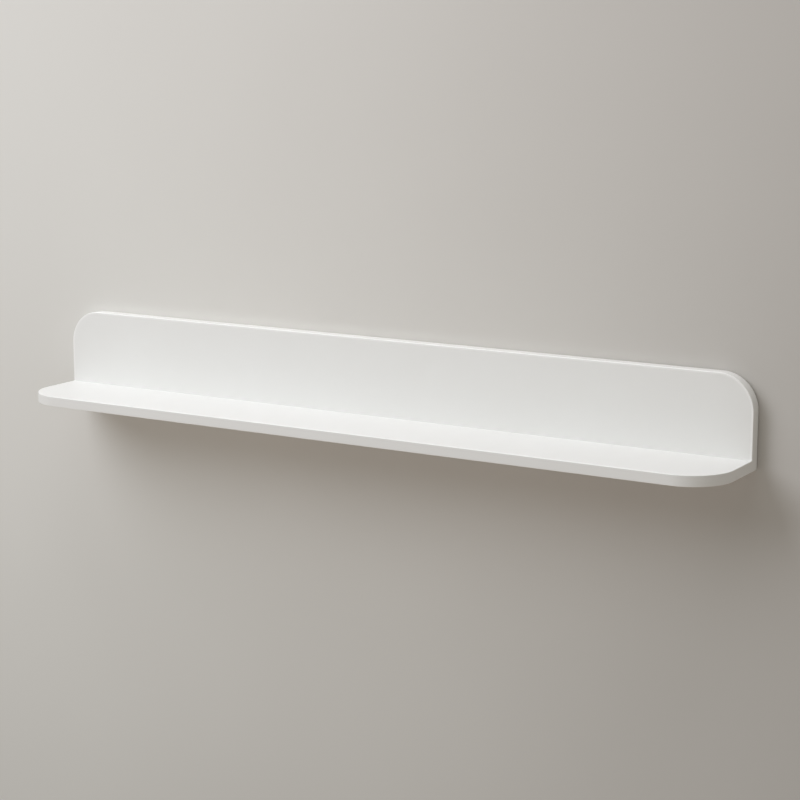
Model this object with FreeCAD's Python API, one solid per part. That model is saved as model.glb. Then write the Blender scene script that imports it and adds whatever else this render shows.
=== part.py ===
import FreeCAD, Part
import math
import os

# Floating wall shelf: an upright back panel with a ledge board joined to its foot, in millimetres.
# +X runs along the shelf, +Y points into the wall and +Z points up.
# The origin lies on the wall plane, at the middle of the length, level with the ledge's top.

# Overall sizes
length = 1200.0
depth = 150.0
height = 135.0

# The two boards
back_thickness = 18.0
board_thickness = 16.0
back_corner_radius = 53.0
board_corner_radius = 66.0
arris_radius = 1.0
rear_ease_radius = 0.6

# One overrun serves all cuts, and one play separates a fastener from its hole
overrun = 1.0
fastener_play = 0.05

# Fluted dowels between the boards
inner_dowel_count = 4
dowel_length = 30.0
dowel_radius = 4.0
dowel_chamfer = 0.8
dowel_skin = 7.5
dowel_end_gap = 0.5
dowel_end_inset = 34.0
flute_count = 18
flute_depth = 0.3
flute_radius = 0.5

# Joint screws, driven from behind through the panel into the board's rear edge
joint_screw_count = 5
joint_screw_end_inset = 70.0
joint_screw_length = 50.0
joint_head_radius = 5.0
joint_head_rim = 0.8
joint_head_recess = 0.5
joint_shank_radius = 3.5
joint_shank_length = 12.0
joint_core_radius = 2.4
joint_thread_pitch = 3.0
joint_tip_length = 4.0
joint_tip_gap = 1.0
hex_socket_across = 4.0
hex_socket_depth = 4.0

# Keyhole hanger plates, let into the panel's rear face
hanger_end_inset = 200.0
hanger_top_margin = 17.0
plate_length = 44.0
plate_width = 16.0
plate_thickness = 2.0
plate_set_back = 0.3
plate_play = 0.2
entry_radius = 5.0
slot_half_width = 2.4
slot_rise = 10.0
hollow_radius = 6.0
hollow_skin = 8.0

# Small screws that hold each plate
plate_screw_end_inset = 4.5
plate_head_radius = 3.0
plate_head_rim = 0.25
plate_shank_radius = 1.5
plate_shank_length = 3.0
plate_core_radius = 1.05
plate_thread_pitch = 1.2
plate_tip_length = 2.0
plate_tip_gap = 0.5
plate_screw_skin = 5.2
cross_width = 0.9
cross_length = 3.4
cross_depth = 1.3

# Shares of a thread's pitch: where a ridge rises, where its crest starts and where it ends
ridge_shares = (0.55, 0.75, 0.85)

# Places that follow from the sizes
half_length = length / 2
underside = -board_thickness
top = height - board_thickness
joint_height = underside / 2
plate_top = top - hanger_top_margin
plate_bottom = plate_top - plate_length
entry_height = (plate_top + plate_bottom - slot_rise) / 2
seat_height = entry_height + slot_rise
plate_floor = plate_set_back + plate_thickness
hollow_depth = back_thickness - hollow_skin
dowel_start = dowel_skin + dowel_end_gap
hanger_places = {
    "left": hanger_end_inset - half_length,
    "centre": 0.0,
    "right": half_length - hanger_end_inset,
}
plate_screw_heights = {
    "upper": plate_top - plate_screw_end_inset,
    "lower": plate_bottom + plate_screw_end_inset,
}


def vec(x, y, z):
    return FreeCAD.Vector(x, y, z)


def corner_arc(centre, radius, first, second):
    """A quarter circle from centre + first * radius to centre + second * radius."""
    middle = (first + second).normalize()
    return Part.Arc(centre + first * radius, centre + middle * radius, centre + second * radius).toShape()


def prism(edges, along):
    return Part.Face(Part.Wire(Part.__sortEdges__(edges))).extrude(along)


def line(start, end):
    return Part.makeLine(start, end)


def turned(profile, x, z):
    """A round solid about an axis along Y, from pairs of depth behind the wall plane and radius."""
    points = [vec(x + radius, -behind, z) for behind, radius in profile]
    face = Part.Face(Part.makePolygon(points + points[:1]))
    return face.revolve(vec(x, 0, z), vec(0, 1, 0), 360)


def round_ended(x, low, high, radius, start, end):
    """An upright slab with round ends centred at the heights low and high, between two depths."""
    right, left, up, down = vec(radius, 0, 0), vec(-radius, 0, 0), vec(0, 0, radius), vec(0, 0, -radius)
    lower, upper = vec(x, -start, low), vec(x, -start, high)
    edges = [
        line(lower + right, upper + right),
        Part.Arc(upper + right, upper + up, upper + left).toShape(),
        line(upper + left, lower + left),
        Part.Arc(lower + left, lower + down, lower + right).toShape(),
    ]
    return prism(edges, vec(0, start - end, 0))


def threaded(start, end, core, crest, pitch):
    """Depth and radius pairs for the ridges of a thread, drawn as rings, between two depths."""
    rise, flat, fall = (share * pitch for share in ridge_shares)
    ridges = []
    for turn in range(int((end - start) / pitch)):
        at = start + turn * pitch
        ridges += [(at + rise, core), (at + flat, crest), (at + fall, crest), (at + pitch, core)]
    return ridges


def panel_outline(low, high, foot_radius, head_radius, behind):
    """Edges of an upright outline with rounded corners at its foot and head, at one depth."""
    right, up = vec(1, 0, 0), vec(0, 0, 1)
    left, down = -right, -up
    near, far = -half_length, half_length
    edges = []
    if foot_radius:
        edges.append(corner_arc(vec(near + foot_radius, -behind, low + foot_radius), foot_radius, left, down))
        edges.append(corner_arc(vec(far - foot_radius, -behind, low + foot_radius), foot_radius, down, right))
    if head_radius:
        edges.append(corner_arc(vec(far - head_radius, -behind, high - head_radius), head_radius, right, up))
        edges.append(corner_arc(vec(near + head_radius, -behind, high - head_radius), head_radius, up, left))
    edges.append(line(vec(near + foot_radius, -behind, low), vec(far - foot_radius, -behind, low)))
    edges.append(line(vec(far, -behind, low + foot_radius), vec(far, -behind, high - head_radius)))
    edges.append(line(vec(far - head_radius, -behind, high), vec(near + head_radius, -behind, high)))
    edges.append(line(vec(near, -behind, high - head_radius), vec(near, -behind, low + foot_radius)))
    return edges


def edges_where(shape, test):
    return [edge for edge in shape.Edges if all(test(vertex.Point) for vertex in edge.Vertexes)]


def same(a, b):
    return math.isclose(a, b, abs_tol=fastener_play)


def joint_screw_places():
    reach = half_length - joint_screw_end_inset
    step = 2 * reach / (joint_screw_count - 1)
    return [index * step - reach for index in range(joint_screw_count)]


def dowel_places():
    """One dowel near each end, and the others halfway between the joint screws."""
    reach = half_length - dowel_end_inset
    screws = joint_screw_places()
    inner = [(screws[index] + screws[index + 1]) / 2 for index in range(inner_dowel_count)]
    return [-reach] + inner + [reach]


def joint_bore(x):
    """The countersunk way of a joint screw, through the panel and into the board."""
    head = joint_head_radius + fastener_play
    shank = joint_shank_radius + fastener_play
    rim = joint_head_recess + joint_head_rim
    end = joint_head_recess + joint_screw_length + joint_tip_gap
    profile = [(-overrun, 0), (-overrun, head), (rim, head), (rim + head - shank, shank), (end, shank), (end, 0)]
    return turned(profile, x, joint_height)


def dowel_bore(x):
    """The blind hole of a dowel, in the panel and in the board."""
    radius = dowel_radius + fastener_play
    start = dowel_skin
    end = dowel_start + dowel_length + dowel_end_gap
    return turned([(start, 0), (start, radius), (end, radius), (end, 0)], x, joint_height)


def plate_screw_bore(x, z):
    """The hole of a plate screw in the panel, under the plate."""
    radius = plate_shank_radius + fastener_play
    end = back_thickness - plate_screw_skin + plate_tip_gap
    return turned([(0, 0), (0, radius), (end, radius), (end, 0)], x, z)


def hanger_pocket(x):
    """The shallow seat of a keyhole plate, and the deeper hollow for the head of a wall screw."""
    seat_radius = plate_width / 2
    low, high = plate_bottom + seat_radius, plate_top - seat_radius
    pocket = round_ended(x, low, high, seat_radius + plate_play, -overrun, plate_floor)
    hollow = round_ended(x, entry_height, seat_height, hollow_radius, -overrun, hollow_depth)
    pocket = pocket.fuse(hollow)
    for z in plate_screw_heights.values():
        pocket = pocket.fuse(plate_screw_bore(x, z))
    return pocket


def back_panel():
    """The upright panel, rounded at its front above the ledge and eased at its rear."""
    along = vec(0, back_thickness, 0)
    upper = prism(panel_outline(0, top, 0, back_corner_radius, back_thickness), along)
    lower = prism(panel_outline(underside, 0, arris_radius, 0, back_thickness), along)
    front = edges_where(upper, lambda p: same(p.y, -back_thickness))
    front = [edge for edge in front if not all(same(vertex.Z, 0) for vertex in edge.Vertexes)]
    panel = upper.makeFillet(arris_radius, front).fuse(lower).removeSplitter()
    panel = panel.makeFillet(rear_ease_radius, edges_where(panel, lambda p: same(p.y, 0)))
    for x in hanger_places.values():
        panel = panel.cut(hanger_pocket(x))
    return bored_for_joint(panel)


def shelf_board():
    """The ledge, with rounded front corners and rounded arrises, square where it meets the panel."""
    radius = board_corner_radius
    rear, front = -back_thickness, -depth
    right, ahead = vec(1, 0, 0), vec(0, -1, 0)
    near, far = -half_length, half_length
    edges = [
        line(vec(far, rear, underside), vec(near, rear, underside)),
        line(vec(near, rear, underside), vec(near, front + radius, underside)),
        corner_arc(vec(near + radius, front + radius, underside), radius, -right, ahead),
        line(vec(near + radius, front, underside), vec(far - radius, front, underside)),
        corner_arc(vec(far - radius, front + radius, underside), radius, ahead, right),
        line(vec(far, front + radius, underside), vec(far, rear, underside)),
    ]
    board = prism(edges, vec(0, 0, board_thickness))
    level = edges_where(board, lambda p: same(p.z, 0)) + edges_where(board, lambda p: same(p.z, underside))
    arrises = [edge for edge in level if not all(same(vertex.Y, rear) for vertex in edge.Vertexes)]
    return bored_for_joint(board.makeFillet(arris_radius, arrises))


def bored_for_joint(board):
    for x in joint_screw_places():
        board = board.cut(joint_bore(x))
    for x in dowel_places():
        board = board.cut(dowel_bore(x))
    return board


def dowel(x):
    """A round dowel with chamfered ends and straight flutes along its sides."""
    start, end = dowel_start, dowel_start + dowel_length
    tip = dowel_radius - dowel_chamfer
    profile = [(start, 0), (start, tip), (start + dowel_chamfer, dowel_radius)]
    profile += [(end - dowel_chamfer, dowel_radius), (end, tip), (end, 0)]
    peg = turned(profile, x, joint_height)
    reach = dowel_radius + flute_radius - flute_depth
    flutes = []
    for index in range(flute_count):
        angle = 2 * math.pi * index / flute_count
        foot = vec(x + reach * math.cos(angle), -start, joint_height + reach * math.sin(angle))
        flutes.append(Part.makeCylinder(flute_radius, dowel_length, foot, vec(0, -1, 0)))
    return peg.cut(flutes)


def joint_screw(x):
    """A one-piece joint screw: flat countersunk head, smooth shank, coarse thread and a point."""
    start = joint_head_recess
    rim = start + joint_head_rim
    neck = rim + joint_head_radius - joint_shank_radius
    shank_end = start + joint_shank_length
    tip = start + joint_screw_length
    tip_start = tip - joint_tip_length
    profile = [(start, 0), (start, joint_head_radius), (rim, joint_head_radius), (neck, joint_shank_radius)]
    profile += [(shank_end, joint_shank_radius), (shank_end, joint_core_radius)]
    profile += threaded(shank_end, tip_start, joint_core_radius, joint_shank_radius, joint_thread_pitch)
    profile += [(tip_start, joint_core_radius), (tip, 0)]
    return turned(profile, x, joint_height).cut(hex_socket(x))


def hex_socket(x):
    radius = hex_socket_across / math.sqrt(3)
    start = joint_head_recess - overrun
    corners = []
    for index in range(6):
        angle = math.pi * index / 3
        corners.append(vec(x + radius * math.cos(angle), -start, joint_height + radius * math.sin(angle)))
    hexagon = Part.Face(Part.makePolygon(corners + corners[:1]))
    return hexagon.extrude(vec(0, -overrun - hex_socket_depth, 0))


def hanger_plate(x):
    """A keyhole plate: a round entry with a slot above it, and a countersunk hole near each end."""
    seat_radius = plate_width / 2
    low, high = plate_bottom + seat_radius, plate_top - seat_radius
    plate = round_ended(x, low, high, seat_radius, plate_set_back, plate_floor)
    entry = turned([(0, 0), (0, entry_radius), (plate_floor + overrun, entry_radius), (plate_floor + overrun, 0)],
                   x, entry_height)
    slot = round_ended(x, entry_height, seat_height, slot_half_width, 0, plate_floor + overrun)
    plate = plate.cut(entry.fuse(slot))
    head = plate_head_radius + fastener_play
    shank = plate_shank_radius + fastener_play
    rim = plate_set_back + plate_head_rim
    end = plate_floor + overrun
    profile = [(0, 0), (0, head), (rim, head), (rim + head - shank, shank), (end, shank), (end, 0)]
    for z in plate_screw_heights.values():
        plate = plate.cut(turned(profile, x, z))
    return plate


def plate_screw(x, z):
    """A small countersunk wood screw with a cross recess, its tip short of the panel's front."""
    start = plate_set_back
    rim = start + plate_head_rim
    neck = rim + plate_head_radius - plate_shank_radius
    shank_end = start + plate_shank_length
    tip = back_thickness - plate_screw_skin
    tip_start = tip - plate_tip_length
    profile = [(start, 0), (start, plate_head_radius), (rim, plate_head_radius), (neck, plate_shank_radius)]
    profile += [(shank_end, plate_shank_radius), (shank_end, plate_core_radius)]
    profile += threaded(shank_end, tip_start, plate_core_radius, plate_shank_radius, plate_thread_pitch)
    profile += [(tip_start, plate_core_radius), (tip, 0)]
    return turned(profile, x, z).cut(cross_recess(x, z))


def cross_recess(x, z):
    """Two crossed slots in a screw's head."""
    bottom = -plate_set_back - cross_depth
    rise = cross_depth + overrun
    arms = []
    for across, along in ((cross_width, cross_length), (cross_length, cross_width)):
        arms.append(Part.makeBox(across, rise, along, vec(x - across / 2, bottom, z - along / 2)))
    return arms[0].fuse(arms[1])


def pieces():
    """Every piece of the shelf by name."""
    made = {"back_panel": back_panel(), "shelf_board": shelf_board()}
    for index, x in enumerate(dowel_places(), 1):
        made[f"dowel_{index}"] = dowel(x)
    for index, x in enumerate(joint_screw_places(), 1):
        made[f"joint_screw_{index}"] = joint_screw(x)
    for side, x in hanger_places.items():
        made[f"hanger_plate_{side}"] = hanger_plate(x)
        for level, z in plate_screw_heights.items():
            made[f"hanger_screw_{side}_{level}"] = plate_screw(x, z)
    return made


os.makedirs("parts", exist_ok=True)
for name, shape in pieces().items():
    shape.exportStep(f"parts/{name}.step")
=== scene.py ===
"""Floating wall shelf: two white lacquered boards with their dowels, joint screws and keyhole hangers.

Laid out as an add-on and run as a script. Lengths are in metres in the frame of the construction
model: +X runs along the shelf, +Y points to the rear and +Z points up.
"""
import math

import bmesh
import bpy
from bpy.props import FloatProperty, FloatVectorProperty, IntProperty, PointerProperty
from mathutils import Matrix, Vector


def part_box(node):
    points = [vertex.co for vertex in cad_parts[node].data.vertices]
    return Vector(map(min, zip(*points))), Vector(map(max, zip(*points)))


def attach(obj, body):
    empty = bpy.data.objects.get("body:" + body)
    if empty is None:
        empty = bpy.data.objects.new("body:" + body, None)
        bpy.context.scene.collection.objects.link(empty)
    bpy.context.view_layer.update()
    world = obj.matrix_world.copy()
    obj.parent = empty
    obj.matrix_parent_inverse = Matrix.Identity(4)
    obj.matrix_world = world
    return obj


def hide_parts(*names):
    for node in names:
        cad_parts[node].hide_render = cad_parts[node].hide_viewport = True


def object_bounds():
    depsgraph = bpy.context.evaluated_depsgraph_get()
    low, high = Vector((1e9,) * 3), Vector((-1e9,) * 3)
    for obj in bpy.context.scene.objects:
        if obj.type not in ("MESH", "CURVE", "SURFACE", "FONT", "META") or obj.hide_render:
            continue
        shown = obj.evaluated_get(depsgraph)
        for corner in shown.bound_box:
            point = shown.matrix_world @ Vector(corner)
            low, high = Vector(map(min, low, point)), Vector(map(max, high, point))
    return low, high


bl_info = {
    "name": "Floating Wall Shelf",
    "version": (1, 0, 0),
    "blender": (4, 5, 0),
    "location": "3D View > Sidebar > Wall Shelf",
    "description": "Builds a white lacquered wall ledge with the fixings inside it and behind it",
    "category": "Add Mesh",
}

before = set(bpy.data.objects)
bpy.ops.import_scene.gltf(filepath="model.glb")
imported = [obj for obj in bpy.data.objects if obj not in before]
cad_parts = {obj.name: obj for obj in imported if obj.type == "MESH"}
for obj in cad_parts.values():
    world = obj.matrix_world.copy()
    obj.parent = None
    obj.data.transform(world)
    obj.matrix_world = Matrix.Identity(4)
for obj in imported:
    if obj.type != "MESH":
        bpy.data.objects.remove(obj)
cad_low, cad_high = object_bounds()

# Every piece is fixed to the one body
BODY = "root"


def nodes_like(start):
    return sorted(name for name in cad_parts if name.startswith(start))


# Node names in the frame
PANEL = "back_panel"
BOARD = "shelf_board"
DOWELS = nodes_like("dowel_")
JOINT_SCREWS = nodes_like("joint_screw_")
PLATES = nodes_like("hanger_plate_")
PLATE_SCREWS = nodes_like("hanger_screw_")

# Places of Y and Z in a vector
Y, Z = 1, 2
# Points closer than this are one point
WELD = 1e-6
# Edges that turn by more than this stay sharp
SHARP_ANGLE = math.radians(32)
# Edges of a hanger plate that turn by more than this are stamped edges
STAMPED_ANGLE = math.radians(60)

# Steps of round shapes
CORNER_STEPS = 40
ARRIS_STEPS = 6
EASE_STEPS = 3
RING_STEPS = 48
HALF_RING_STEPS = 24
FLUTE_STEPS = 8
THREAD_STEPS = 14

# A joint screw's socket: its corners, the share of its depth with straight walls, and how its bottom narrows
SOCKET_CORNERS = 6
SOCKET_WALL_SHARE = 0.88
SOCKET_BOTTOM_SHARE = 0.3
# A plate screw's recess: its arms, and how its bottom narrows
CROSS_ARMS = 4
CROSS_BOTTOM_SHARE = 0.6
# Shares of a thread's pitch: where a ridge rises, where its crest starts and ends, where it falls back
RIDGE_SHARES = (0.55, 0.75, 0.85, 1.0)

# Material slots of a board: its finish, and the bare core that drilling and routing lay open
FINISH, CORE = 0, 1

# Most values of a noise texture lie between these
NOISE_LOW, NOISE_HIGH = 0.3, 0.7
# The most that a share times the rest of the whole can be
MOST_TURNED = 0.25
# Roughness that the lacquer loses on its arrises, and that plated steel gains on its marks
ARRIS_GLOSS = 0.14
MARK_DULLNESS = 0.14
# Shares of the darker colour that fibres, grain, flecks and marks take
FIBRE_SHARE = 0.6
GRAIN_SHARE = 0.45
FLECK_SHARE = 0.7
MARK_SHARE = 0.5
# A streak as dark as this is a fleck
FLECK_START = 0.86

# How far the lip round the backdrop's opening reaches across the gap to the shelf
LIP_SHARE = 0.9
# What the floor's darker patches keep of its colour
FLOOR_DARK_SHARE = 0.9
BLACK = (0.0, 0.0, 0.0)
# First words of the softboxes' properties
SOFTBOXES = ("key", "top", "rear")


def length(label, what, default):
    return FloatProperty(name=label, description=what, default=default, min=0.0, precision=5,
                         unit="LENGTH", subtype="DISTANCE")


def colour(label, what, default):
    return FloatVectorProperty(name=label, description=what, default=default, size=3, min=0.0, max=1.0,
                               subtype="COLOR")


def angle(label, what, degrees):
    return FloatProperty(name=label, description=what, default=math.radians(degrees), unit="ROTATION",
                         subtype="ANGLE")


def amount(label, what, default):
    return FloatProperty(name=label, description=what, default=default, min=0.0)


def point(label, what, default):
    return FloatVectorProperty(name=label, description=what, default=default, size=3, unit="LENGTH",
                               subtype="TRANSLATION")


class ShelfBoards(bpy.types.PropertyGroup):
    """Shapes of the two boards."""

    panel_corner: length("Panel corners", "Radius of the back panel's top corners", 0.053)
    board_corner: length("Ledge corners", "Radius of the ledge's front corners", 0.066)
    arris: length("Arris", "Radius of the edges that show", 0.001)
    rear_ease: length("Rear ease", "Radius of the back panel's rear edges", 0.0006)
    rim_ease: length("Rim ease", "Radius at the mouths of holes and pockets", 0.00015)


class ShelfJoints(bpy.types.PropertyGroup):
    """Dowels and joint screws between the boards."""

    play: length("Play", "Room between a fastener and its hole", 0.00005)
    dowel_end_gap: length("Dowel end gap", "Room past each end of a dowel", 0.0005)
    dowel_chamfer: length("Dowel chamfer", "Chamfer at a dowel's ends", 0.0008)
    flutes: IntProperty(name="Flutes", description="Grooves round a dowel", default=18, min=3)
    flute_radius: length("Flute radius", "Radius of a groove's section", 0.0005)
    flute_depth: length("Flute depth", "Depth of a groove", 0.0003)
    head_rim: length("Head rim", "Straight part of a joint screw's head", 0.0008)
    head_ease: length("Head ease", "Chamfer round a joint screw's head", 0.00025)
    shank_radius: length("Shank radius", "Radius of a joint screw's shank and thread", 0.0035)
    shank_length: length("Shank length", "From the head's face to the thread", 0.012)
    core_radius: length("Core radius", "Radius between the ridges of the thread", 0.0024)
    pitch: length("Pitch", "Rise of the thread in one turn", 0.003)
    tip_length: length("Tip length", "Length of the point", 0.004)
    tip_gap: length("Tip gap", "Room past the point", 0.001)
    socket_across: length("Socket", "Width across the flats of the hexagon socket", 0.004)
    socket_depth: length("Socket depth", "Depth of the hexagon socket", 0.004)


class ShelfHangers(bpy.types.PropertyGroup):
    """Keyhole plates, their pockets and their screws."""

    plate_play: length("Plate play", "Room round a plate in its pocket", 0.0002)
    plate_edge: length("Plate edge", "Radius of a plate's stamped edges", 0.00018)
    entry_radius: length("Entry radius", "Radius of the keyhole's round entry", 0.005)
    slot_half_width: length("Slot half width", "Half the width of the keyhole's slot", 0.0024)
    slot_rise: length("Slot rise", "From the entry's centre up to the slot's", 0.010)
    hollow_radius: length("Hollow radius", "Radius of the hollow behind the keyhole", 0.006)
    hollow_depth: length("Hollow depth", "Depth of the hollow from the rear face", 0.010)
    play: length("Play", "Room between a plate screw and its hole", 0.00005)
    head_rim: length("Head rim", "Straight part of a plate screw's head", 0.00025)
    head_ease: length("Head ease", "Chamfer round a plate screw's head", 0.0001)
    shank_radius: length("Shank radius", "Radius of a plate screw's shank and thread", 0.0015)
    shank_length: length("Shank length", "From the head's face to the thread", 0.003)
    core_radius: length("Core radius", "Radius between the ridges of the thread", 0.00105)
    pitch: length("Pitch", "Rise of the thread in one turn", 0.0012)
    tip_length: length("Tip length", "Length of the point", 0.002)
    tip_gap: length("Tip gap", "Room past the point", 0.0005)
    cross_width: length("Cross width", "Width of the arms of the cross recess", 0.0009)
    cross_length: length("Cross length", "Length of the arms of the cross recess", 0.0034)
    cross_depth: length("Cross depth", "Depth of the cross recess", 0.0013)


class ShelfFinishes(bpy.types.PropertyGroup):
    """Colours of the materials."""

    lacquer: colour("Lacquer", "White of the lacquer", (0.858, 0.857, 0.838))
    lacquer_thin: colour("Thin lacquer", "White where the lacquer is thinner", (0.836, 0.832, 0.808))
    # Painted highlight: the arrises, and a band along the outlines of the lit faces, are whiter than the
    # lacquer. The band also takes a fuller, glossier coat.
    lacquer_highlight: colour("Arris lacquer", "White of the arrises and the outlines", (0.965, 0.960, 0.945))
    fat_edge_highlight: length("Fat edge", "Width of the fuller lacquer along the boards' outlines", 0.005)
    fibreboard: colour("Fibreboard", "Cut face of the boards", (0.470, 0.325, 0.200))
    fibreboard_dark: colour("Dark fibres", "Fibres in the cut face", (0.170, 0.098, 0.050))
    beech: colour("Beech", "Ground colour of the dowels", (0.640, 0.430, 0.262))
    beech_grain: colour("Beech grain", "Grain and flecks of the dowels", (0.400, 0.225, 0.112))
    plate: colour("Plate zinc", "Bright zinc of the hanger plates", (0.720, 0.735, 0.755))
    plate_dull: colour("Dull zinc", "Dull patches of the hanger plates", (0.440, 0.455, 0.472))
    screw: colour("Screw zinc", "Pale yellow zinc of the screws", (0.800, 0.640, 0.310))
    screw_tint: colour("Screw tint", "Passing tint of the screws' zinc", (0.480, 0.450, 0.390))


class ShelfStage(bpy.types.PropertyGroup):
    """Studio, light and camera."""

    # Painted light and shade on the backdrop: lighter to the left, darker to the right and dimmer far from
    # the shelf
    wall_left_lit: colour("Wall left", "Backdrop to the left", (0.818, 0.806, 0.766))
    wall_right_shaded: colour("Wall right", "Backdrop to the right", (0.590, 0.567, 0.534))
    wall_blend: length("Wall blend", "From the middle to each side's full colour", 0.8)
    # Painted shadow: the lip's dark colour makes the shade line between the panel's ends and the backdrop
    gap: colour("Gap", "Lip round the backdrop's opening, at the shelf's ends", (0.200, 0.188, 0.172))
    wall_dim: amount("Wall dim", "Share of its colour lost far from the shelf", 0.15)
    wall_dim_start: length("Wall dim start", "Where the backdrop starts to dim", 0.25)
    wall_dim_end: length("Wall dim end", "Where the backdrop is dimmest", 1.2)
    floor: colour("Floor", "Pale floor under the shelf", (0.800, 0.790, 0.770))
    floor_glow: amount("Floor glow", "Light that the floor shows of itself", 0.30)
    floor_fade_start: length("Floor fade start", "Where the floor starts to fade", 2.0)
    floor_fade_end: length("Floor fade end", "Where the floor has faded out", 6.0)
    wall_gap: length("Wall gap", "From the shelf's rear face to the backdrop", 0.003)
    opening_inset: length("Opening inset", "From the panel's outline in to the backdrop's opening", 0.0014)
    wall_size: length("Wall size", "Half the width of the backdrop and the floor", 9.0)
    floor_drop: length("Floor drop", "From the ledge down to the floor", 1.45)
    ambient_above: colour("Ambient above", "Even light from overhead", (0.195, 0.235, 0.210))
    ambient_below: colour("Ambient below", "Even light from underfoot", (0.550, 0.468, 0.425))
    surround: colour("Surround", "Ground past the backdrop and the floor", (0.790, 0.780, 0.762))
    light_aim: point("Light aim", "What the softboxes face", (0.0, 0.0, 0.03))
    key_place: point("Key place", "Softbox in front, up to the left", (-2.026, -2.414, 2.493))
    key_size: length("Key size", "Width of the softbox in front", 3.2)
    key_power: amount("Key power", "Watts of the softbox in front", 100.0)
    key_tint: colour("Key tint", "Light of the softbox in front", (0.922, 0.942, 1.000))
    top_place: point("Top place", "Softbox overhead", (0.25, -0.09, 2.63))
    top_size: length("Top size", "Width of the softbox overhead", 2.6)
    top_power: amount("Top power", "Watts of the softbox overhead", 41.5)
    top_tint: colour("Top tint", "Light of the softbox overhead", (1.000, 0.945, 0.980))
    rear_place: point("Rear place", "Softbox behind, up to the left", (-1.0, 2.7, 0.9))
    rear_size: length("Rear size", "Width of the softbox behind", 2.2)
    rear_power: amount("Rear power", "Watts of the softbox behind", 48.0)
    rear_tint: colour("Rear tint", "Light of the softbox behind", (1.000, 0.990, 0.970))
    lens: FloatProperty(name="Lens", description="Focal length", default=90.89, unit="CAMERA")
    azimuth: angle("Azimuth", "Camera's turn to the right of the shelf's front", 31.113)
    elevation: angle("Elevation", "Camera's height over the horizon", 10.834)
    distance: length("Distance", "From the camera to the point that it faces", 3.0706)
    aim: point("Aim", "Point of the rear plane that the camera faces", (0.02534, 0.0, 0.02555))


# Mesh tools

def near(a, b):
    return abs(a - b) < WELD


def runs_along(edge, axis):
    run = edge.verts[1].co - edge.verts[0].co
    return near(abs(run[axis]), run.length)


def where(items, test):
    """Edges or faces whose corners all pass a test of their place."""
    return [item for item in items if all(test(vert.co) for vert in item.verts)]


def verts_in(geom):
    return [item for item in geom if isinstance(item, bmesh.types.BMVert)]


def set_slot(geom, material):
    """Gives the faces among what an operator made their material slot."""
    for item in geom:
        if isinstance(item, bmesh.types.BMFace):
            item.material_index = material


def open_rims(bm):
    """Edges round the openings of a mesh."""
    return [edge for edge in bm.edges if len(edge.link_faces) == 1]


def box_between(low, high):
    bm = bmesh.new()
    place = Matrix.Translation((low + high) / 2) @ Matrix.Diagonal((*(high - low), 1.0))
    bmesh.ops.create_cube(bm, size=1.0, matrix=place)
    return bm


def round_edges(bm, edges, radius, steps):
    bmesh.ops.recalc_face_normals(bm, faces=bm.faces)
    bmesh.ops.bevel(bm, geom=edges, offset=radius, offset_type="OFFSET", segments=steps, profile=0.5,
                    affect="EDGES", material=-1)


def ring(bm, x, y, z, radius, steps=RING_STEPS):
    """A closed circle of edges about an axis along Y."""
    place = Matrix.Translation((x, y, z)) @ Matrix.Rotation(math.pi / 2, 4, "X")
    verts = bmesh.ops.create_circle(bm, segments=steps, radius=radius, matrix=place)["verts"]
    return list(dict.fromkeys(edge for vert in verts for edge in vert.link_edges))


def arc(bm, start, centre, turn):
    """A chain of edges from a point, turned about an axis along Y. Returns its first and last vertex."""
    first = bm.verts.new(start)
    spun = bmesh.ops.spin(bm, geom=[first], cent=centre, axis=(0, 1, 0), angle=turn, steps=HALF_RING_STEPS)
    return first, verts_in(spun["geom_last"])[0]


def keyhole(bm, x, y, low, high, foot_radius, half_width):
    """An upright outline: a round foot centred at low, and a slot above it that ends round at high."""
    known = set(bm.edges)
    neck = math.sqrt(foot_radius ** 2 - half_width ** 2)
    turn = 2 * (math.pi - math.atan2(half_width, neck))
    foot_start, foot_end = arc(bm, (x + half_width, y, low + neck), (x, y, low), turn)
    head_start, head_end = arc(bm, (x - half_width, y, high), (x, y, high), math.pi)
    bm.edges.new((foot_end, head_start))
    bm.edges.new((head_end, foot_start))
    return [edge for edge in bm.edges if edge not in known]


def sink(bm, loop, y, spread=1.0, material=FINISH):
    """Extrudes a loop to another depth, spread about its middle, and returns the new loop."""
    made = bmesh.ops.extrude_edge_only(bm, edges=loop)["geom"]
    verts = verts_in(made)
    middle = sum((vert.co for vert in verts), Vector()) / len(verts)
    bmesh.ops.scale(bm, vec=(spread, 1.0, spread), space=Matrix.Translation(-middle), verts=verts)
    bmesh.ops.translate(bm, vec=(0.0, y - middle.y, 0.0), verts=verts)
    moved = set(verts)
    set_slot(made, material)
    return [item for item in made if isinstance(item, bmesh.types.BMEdge) and moved.issuperset(item.verts)]


def cap(bm, loop, material=FINISH):
    set_slot(bmesh.ops.edgeloop_fill(bm, edges=loop)["faces"], material)


def fill_flat(bm, edges, material):
    """Flat faces between an outline and the holes in it, all at one depth."""
    made = bmesh.ops.triangle_fill(bm, use_beauty=True, edges=edges, normal=(0.0, 1.0, 0.0))
    set_slot(made["geom"], material)


def open_faces(bm, faces):
    """Takes faces out and returns the edges round the opening that they leave."""
    bmesh.ops.delete(bm, geom=faces, context="FACES")
    return open_rims(bm)


def ease_mouths(bm, radius):
    """Breaks the edges between a finished face and the bare core."""
    mouths = [edge for edge in bm.edges if len({face.material_index for face in edge.link_faces}) > 1]
    round_edges(bm, mouths, radius, EASE_STEPS)


def centre_and_ends(node):
    """A fastener's axis, its depths at the head and at the tip, and its radius."""
    low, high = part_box(node)
    return (low.x + high.x) / 2, (low.z + high.z) / 2, high.y, low.y, (high.z - low.z) / 2


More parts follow.
